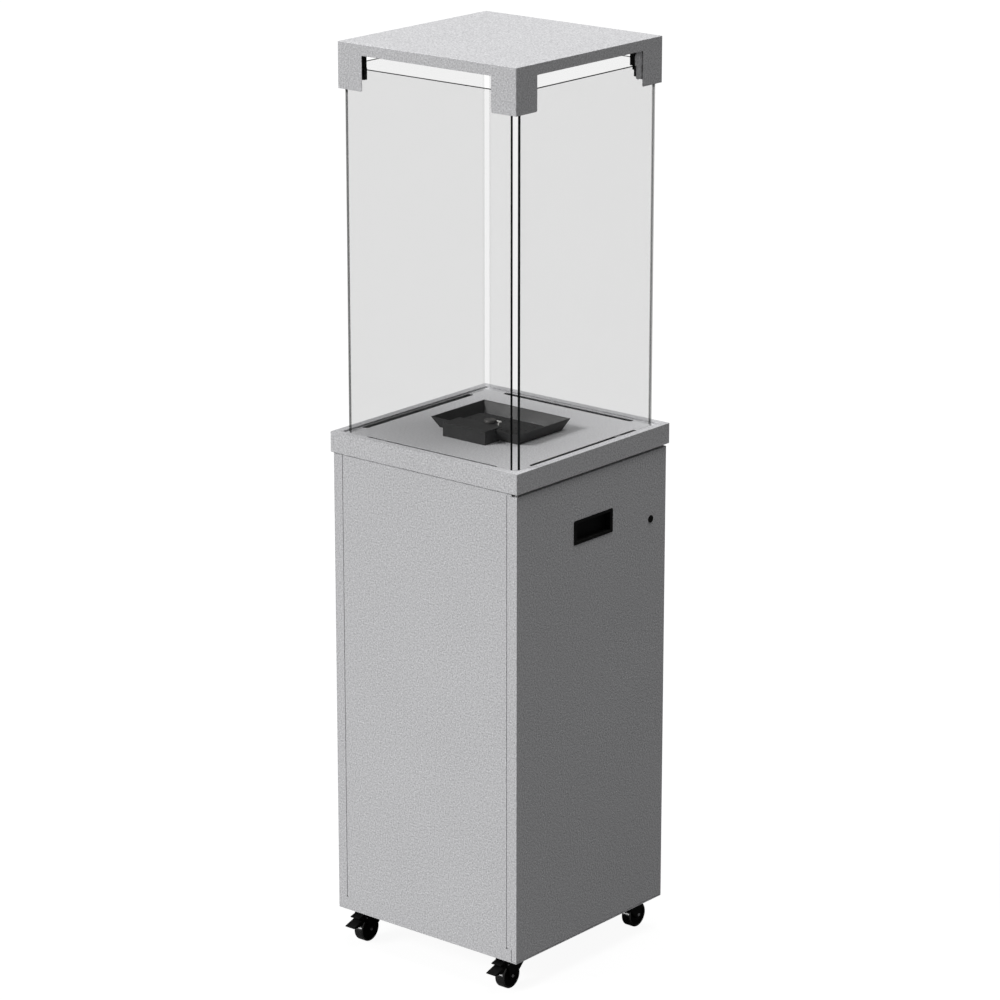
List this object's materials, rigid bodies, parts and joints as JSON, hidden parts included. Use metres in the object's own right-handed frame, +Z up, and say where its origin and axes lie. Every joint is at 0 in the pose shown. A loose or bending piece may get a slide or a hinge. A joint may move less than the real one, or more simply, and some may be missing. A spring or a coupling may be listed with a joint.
{
  "type": "patio heater",
  "caption": "Square free-standing gas patio heater: castored cabinet with lockable door, table rim with black burner tray, glass flame chamber and folded roof.",
  "frame": {"origin": "on the floor under the centre of the square cabinet; the two brake pedals reach past the front, so the overall box is centred 7 mm nearer the front", "axes": "+Z up, +X out of the door side with handle and lock, -Y out of the plain front with the two slits and the brake pedals"},
  "size_m": [0.406, 0.4205, 1.577],
  "materials": {
    "shell": "fine textured silver-grey powder coat",
    "glass": "clear",
    "tray_black": "matte black heat-proof paint",
    "black_metal": "satin black",
    "plain_steel": "zinc plated",
    "brass": "turned",
    "copper": "drawn tube",
    "ceramic": "glazed",
    "black_rubber": "matte",
    "tread": "smooth hard tread",
    "black_plastic": "satin moulded"
  },
  "bodies": {
    "cabinet": {"base_plate": "shell", "castor_plates": "black_metal", "castor_bolts": "plain_steel", "castor_nuts": "plain_steel", "front_panel": "shell", "back_panel": "shell", "left_panel": "shell", "corner_posts": "shell", "lock_keeper": "plain_steel", "table_rim": "shell", "table_plate": "shell", "glass_front": "glass", "glass_right": "glass", "glass_back": "glass", "glass_left": "glass", "glass_clips": "plain_steel", "clip_pads": "black_rubber", "roof_cover": "shell", "burner_tray": "tray_black", "burner_head": "tray_black", "burner_box": "plain_steel", "pilot_hood": "tray_black", "pilot_bracket": "plain_steel", "pilot_burner": "plain_steel", "spark_electrode": "ceramic", "thermocouple": "copper", "valve_bracket": "plain_steel", "gas_valve": "brass", "feed_pipe": "copper", "pilot_pipe": "copper", "gas_inlet": "brass"},
    "door": {"door_panel": "shell", "door_stiffeners": "shell", "hinge_pins": "plain_steel", "handle_cup": "black_plastic", "lock_barrel": "plain_steel", "lock_nut": "plain_steel"},
    "lock": {"lock_plug": "plain_steel", "lock_cam": "plain_steel"},
    "knob": {"control_knob": "black_plastic"},
    "castor_fl": {"castor_fl_fork": "black_metal", "castor_fl_pins": "plain_steel"},
    "wheel_fl": {"castor_fl_wheel": "black_plastic", "castor_fl_tyre": "tread"},
    "brake_fl": {"castor_fl_pedal": "black_plastic"},
    "castor_fr": {"castor_fr_fork": "black_metal", "castor_fr_pins": "plain_steel"},
    "wheel_fr": {"castor_fr_wheel": "black_plastic", "castor_fr_tyre": "tread"},
    "brake_fr": {"castor_fr_pedal": "black_plastic"},
    "castor_rr": {"castor_rr_fork": "black_metal", "castor_rr_pins": "plain_steel"},
    "wheel_rr": {"castor_rr_wheel": "black_plastic", "castor_rr_tyre": "tread"},
    "castor_rl": {"castor_rl_fork": "black_metal", "castor_rl_pins": "plain_steel"},
    "wheel_rl": {"castor_rl_wheel": "black_plastic", "castor_rl_tyre": "tread"}
  },
  "joints": [
    {"name": "door_hinge", "type": "hinge", "parent": "cabinet", "child": "door", "pos_m": [0.1968, -0.1968, 0.47], "axis": [0, 0, -1], "range_deg": [0, 110]},
    {"name": "lock_turn", "type": "hinge", "parent": "door", "child": "lock", "pos_m": [0.2, 0.156, 0.758], "axis": [1, 0, 0], "range_deg": [0, 90]},
    {"name": "knob_turn", "type": "hinge", "parent": "cabinet", "child": "knob", "pos_m": [0.15, 0, 0.8108], "axis": [-1, 0, 0], "range_deg": [0, 210]},
    {"name": "swivel_fl", "type": "hinge", "parent": "cabinet", "child": "castor_fl", "pos_m": [-0.1588, -0.1588, 0.05], "axis": [0, 0, 1], "continuous": true},
    {"name": "roll_fl", "type": "hinge", "parent": "castor_fl", "child": "wheel_fl", "pos_m": [-0.1588, -0.1735, 0.0225], "axis": [1, 0, 0], "continuous": true},
    {"name": "brake_fl_press", "type": "hinge", "parent": "castor_fl", "child": "brake_fl", "pos_m": [-0.1588, -0.185, 0.047], "axis": [-1, 0, 0], "range_deg": [0, 15]},
    {"name": "swivel_fr", "type": "hinge", "parent": "cabinet", "child": "castor_fr", "pos_m": [0.1588, -0.1588, 0.05], "axis": [0, 0, 1], "continuous": true},
    {"name": "roll_fr", "type": "hinge", "parent": "castor_fr", "child": "wheel_fr", "pos_m": [0.1588, -0.1735, 0.0225], "axis": [1, 0, 0], "continuous": true},
    {"name": "brake_fr_press", "type": "hinge", "parent": "castor_fr", "child": "brake_fr", "pos_m": [0.1588, -0.185, 0.047], "axis": [-1, 0, 0], "range_deg": [0, 15]},
    {"name": "swivel_rr", "type": "hinge", "parent": "cabinet", "child": "castor_rr", "pos_m": [0.1588, 0.1588, 0.05], "axis": [0, 0, 1], "continuous": true},
    {"name": "roll_rr", "type": "hinge", "parent": "castor_rr", "child": "wheel_rr", "pos_m": [0.1588, 0.1735, 0.0225], "axis": [1, 0, 0], "continuous": true},
    {"name": "swivel_rl", "type": "hinge", "parent": "cabinet", "child": "castor_rl", "pos_m": [-0.1588, 0.1588, 0.05], "axis": [0, 0, 1], "continuous": true},
    {"name": "roll_rl", "type": "hinge", "parent": "castor_rl", "child": "wheel_rl", "pos_m": [-0.1588, 0.1735, 0.0225], "axis": [1, 0, 0], "continuous": true}
  ]
}
